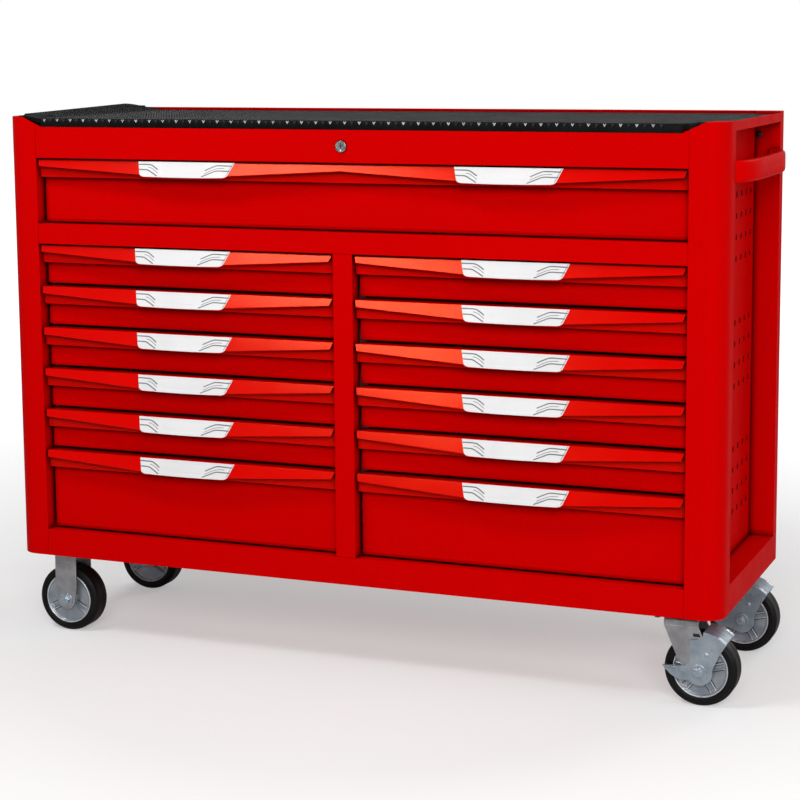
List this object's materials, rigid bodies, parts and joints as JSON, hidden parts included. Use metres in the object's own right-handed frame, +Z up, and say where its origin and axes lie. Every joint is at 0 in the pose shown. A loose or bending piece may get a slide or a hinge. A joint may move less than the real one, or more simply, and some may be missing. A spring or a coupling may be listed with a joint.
{
  "type": "rolling tool chest",
  "caption": "Wide red rolling tool chest with one full-width drawer over two columns of drawers, a rubber-topped tray, a push handle, a lock and braked swivel casters.",
  "frame": {"origin": "on the floor, under the middle of the whole chest's box, with casters down and drawers shut", "axes": "+X to the right as seen from the drawers, along the width; +Y from the drawer fronts to the back; +Z up"},
  "size_m": [1.388, 0.463, 1.0042],
  "materials": {
    "red_paint": "gloss powder coat",
    "pull_red": "gloss moulded plastic",
    "handle_red": "satin moulded plastic",
    "mat_rubber": "ribbed matt rubber",
    "tyre": "satin rubber on a zinc-plated hub",
    "zinc": "zinc-plated pressed steel",
    "chrome": "polished plating",
    "dark_steel": "oiled steel"
  },
  "bodies": {
    "cabinet": {"corner_post_front_left": "red_paint", "corner_post_rear_left": "red_paint", "side_panel_left": "red_paint", "corner_post_front_right": "red_paint", "corner_post_rear_right": "red_paint", "side_panel_right": "red_paint", "back_panel": "red_paint", "divider_panel": "red_paint", "header_rail": "red_paint", "mid_rail": "red_paint", "centre_pillar": "red_paint", "base_pan": "red_paint", "top_tray": "red_paint", "top_mat": "mat_rubber", "push_handle": "handle_red", "runner_bank_left": "zinc", "runner_bank_centre_left": "zinc", "runner_bank_right": "zinc", "runner_bank_centre_right": "zinc", "fixed_fork_front_left": "zinc", "swivel_plate_front_right": "zinc", "fixed_fork_rear_left": "zinc", "swivel_plate_rear_right": "zinc"},
    "drawer_wide": {"drawer_wide": "red_paint", "pull_wide": "pull_red"},
    "drawer_left_1": {"drawer_left_1": "red_paint", "pull_left_1": "pull_red"},
    "drawer_left_2": {"drawer_left_2": "red_paint", "pull_left_2": "pull_red"},
    "drawer_left_3": {"drawer_left_3": "red_paint", "pull_left_3": "pull_red"},
    "drawer_left_4": {"drawer_left_4": "red_paint", "pull_left_4": "pull_red"},
    "drawer_left_5": {"drawer_left_5": "red_paint", "pull_left_5": "pull_red"},
    "drawer_left_6": {"drawer_left_6": "red_paint", "pull_left_6": "pull_red"},
    "drawer_right_1": {"drawer_right_1": "red_paint", "pull_right_1": "pull_red"},
    "drawer_right_2": {"drawer_right_2": "red_paint", "pull_right_2": "pull_red"},
    "drawer_right_3": {"drawer_right_3": "red_paint", "pull_right_3": "pull_red"},
    "drawer_right_4": {"drawer_right_4": "red_paint", "pull_right_4": "pull_red"},
    "drawer_right_5": {"drawer_right_5": "red_paint", "pull_right_5": "pull_red"},
    "drawer_right_6": {"drawer_right_6": "red_paint", "pull_right_6": "pull_red"},
    "lock": {"lock_cylinder": "chrome"},
    "lock_rod": {"lock_rod": "dark_steel"},
    "lock_bar": {"lock_bar": "dark_steel"},
    "wheel_front_left": {"wheel_front_left": "tyre"},
    "swivel_front_right": {"swivel_fork_front_right": "zinc"},
    "wheel_front_right": {"wheel_front_right": "tyre"},
    "brake_front_right": {"brake_lever_front_right": "zinc"},
    "wheel_rear_left": {"wheel_rear_left": "tyre"},
    "swivel_rear_right": {"swivel_fork_rear_right": "zinc"},
    "wheel_rear_right": {"wheel_rear_right": "tyre"},
    "brake_rear_right": {"brake_lever_rear_right": "zinc"}
  },
  "joints": [
    {"name": "drawer_wide_slide", "type": "slide", "parent": "cabinet", "child": "drawer_wide", "axis": [0, -1, 0], "range_m": [0, 0.3]},
    {"name": "drawer_left_1_slide", "type": "slide", "parent": "cabinet", "child": "drawer_left_1", "axis": [0, -1, 0], "range_m": [0, 0.3]},
    {"name": "drawer_left_2_slide", "type": "slide", "parent": "cabinet", "child": "drawer_left_2", "axis": [0, -1, 0], "range_m": [0, 0.3]},
    {"name": "drawer_left_3_slide", "type": "slide", "parent": "cabinet", "child": "drawer_left_3", "axis": [0, -1, 0], "range_m": [0, 0.3]},
    {"name": "drawer_left_4_slide", "type": "slide", "parent": "cabinet", "child": "drawer_left_4", "axis": [0, -1, 0], "range_m": [0, 0.3]},
    {"name": "drawer_left_5_slide", "type": "slide", "parent": "cabinet", "child": "drawer_left_5", "axis": [0, -1, 0], "range_m": [0, 0.3]},
    {"name": "drawer_left_6_slide", "type": "slide", "parent": "cabinet", "child": "drawer_left_6", "axis": [0, -1, 0], "range_m": [0, 0.3]},
    {"name": "drawer_right_1_slide", "type": "slide", "parent": "cabinet", "child": "drawer_right_1", "axis": [0, -1, 0], "range_m": [0, 0.3]},
    {"name": "drawer_right_2_slide", "type": "slide", "parent": "cabinet", "child": "drawer_right_2", "axis": [0, -1, 0], "range_m": [0, 0.3]},
    {"name": "drawer_right_3_slide", "type": "slide", "parent": "cabinet", "child": "drawer_right_3", "axis": [0, -1, 0], "range_m": [0, 0.3]},
    {"name": "drawer_right_4_slide", "type": "slide", "parent": "cabinet", "child": "drawer_right_4", "axis": [0, -1, 0], "range_m": [0, 0.3]},
    {"name": "drawer_right_5_slide", "type": "slide", "parent": "cabinet", "child": "drawer_right_5", "axis": [0, -1, 0], "range_m": [0, 0.3]},
    {"name": "drawer_right_6_slide", "type": "slide", "parent": "cabinet", "child": "drawer_right_6", "axis": [0, -1, 0], "range_m": [0, 0.3]},
    {"name": "lock_bar_slide", "type": "slide", "parent": "cabinet", "child": "lock_bar", "axis": [0, 0, 1], "range_m": [0, 0.01]},
    {"name": "lock_turn", "type": "hinge", "parent": "cabinet", "child": "lock", "pos_m": [-0.012, -0.21855, 0.947], "axis": [0, -1, 0], "range_deg": [0, 90.5]},
    {"name": "lock_rod_slide", "type": "slide", "parent": "cabinet", "child": "lock_rod", "axis": [1, 0, 0], "range_m": [0, 0.0125]},
    {"name": "wheel_front_left_spin", "type": "hinge", "parent": "cabinet", "child": "wheel_front_left", "pos_m": [-0.622, -0.14455, 0.0635], "axis": [0, 1, 0], "continuous": true},
    {"name": "swivel_front_right_turn", "type": "hinge", "parent": "cabinet", "child": "swivel_front_right", "pos_m": [0.594, -0.15855, 0.148], "axis": [0, 0, 1], "continuous": true},
    {"name": "wheel_front_right_spin", "type": "hinge", "parent": "swivel_front_right", "child": "wheel_front_right", "pos_m": [0.626, -0.15855, 0.0635], "axis": [0, 1, 0], "continuous": true},
    {"name": "brake_front_right_rock", "type": "hinge", "parent": "swivel_front_right", "child": "brake_front_right", "pos_m": [0.626, -0.15855, 0.0635], "axis": [0, 1, 0], "range_deg": [0, 20]},
    {"name": "wheel_rear_left_spin", "type": "hinge", "parent": "cabinet", "child": "wheel_rear_left", "pos_m": [-0.622, 0.17145, 0.0635], "axis": [0, 1, 0], "continuous": true},
    {"name": "swivel_rear_right_turn", "type": "hinge", "parent": "cabinet", "child": "swivel_rear_right", "pos_m": [0.594, 0.17145, 0.148], "axis": [0, 0, 1], "continuous": true},
    {"name": "wheel_rear_right_spin", "type": "hinge", "parent": "swivel_rear_right", "child": "wheel_rear_right", "pos_m": [0.626, 0.17145, 0.0635], "axis": [0, 1, 0], "continuous": true},
    {"name": "brake_rear_right_rock", "type": "hinge", "parent": "swivel_rear_right", "child": "brake_rear_right", "pos_m": [0.626, 0.17145, 0.0635], "axis": [0, 1, 0], "range_deg": [0, 20]}
  ],
  "couplings": [
    {"joint": "lock_turn", "follows": "lock_bar_slide", "rad_per_m": 157.08},
    {"joint": "lock_rod_slide", "follows": "lock_bar_slide", "ratio": 1.2}
  ]
}
